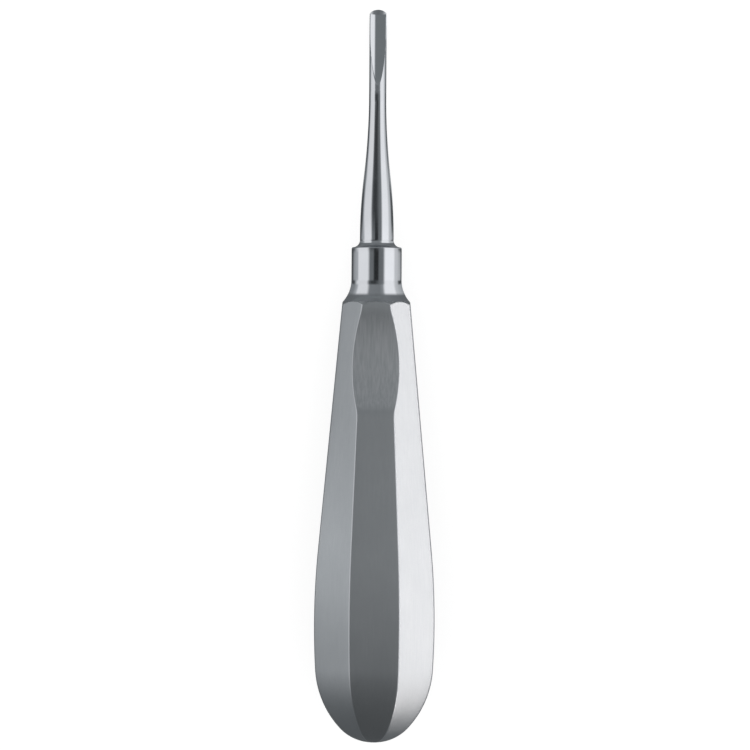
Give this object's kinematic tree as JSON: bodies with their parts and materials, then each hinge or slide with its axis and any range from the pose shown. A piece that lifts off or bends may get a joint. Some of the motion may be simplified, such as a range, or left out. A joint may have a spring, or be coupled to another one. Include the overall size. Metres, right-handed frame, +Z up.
{
  "type": "dental elevator",
  "caption": "Straight dental elevator: bent gouge blade on a round shank, turned neck and hollow octagonal pear handle with a thumb recess.",
  "frame": {"origin": "middle of the bounding box on the surface that the instrument lies on", "axes": "+Z up from the surface, out of the front with the thumb recess and the hollow of the blade; +Y along the instrument towards the tip, which dips 4 degrees; +X across it"},
  "size_m": [0.0244, 0.1494, 0.0252],
  "materials": {
    "polished_steel": "mirror-polished hardened stainless steel",
    "polished_neck": "mirror-polished turned stainless steel",
    "pin_steel": "plain drawn stainless pin",
    "satin_steel": "fine satin, matt-brushed stainless steel"
  },
  "bodies": {
    "root": {"blade": "polished_steel", "ferrule": "polished_neck", "tang_pin": "pin_steel", "handle_front_shell": "satin_steel", "handle_back_shell": "satin_steel"}
  },
  "joints": []
}
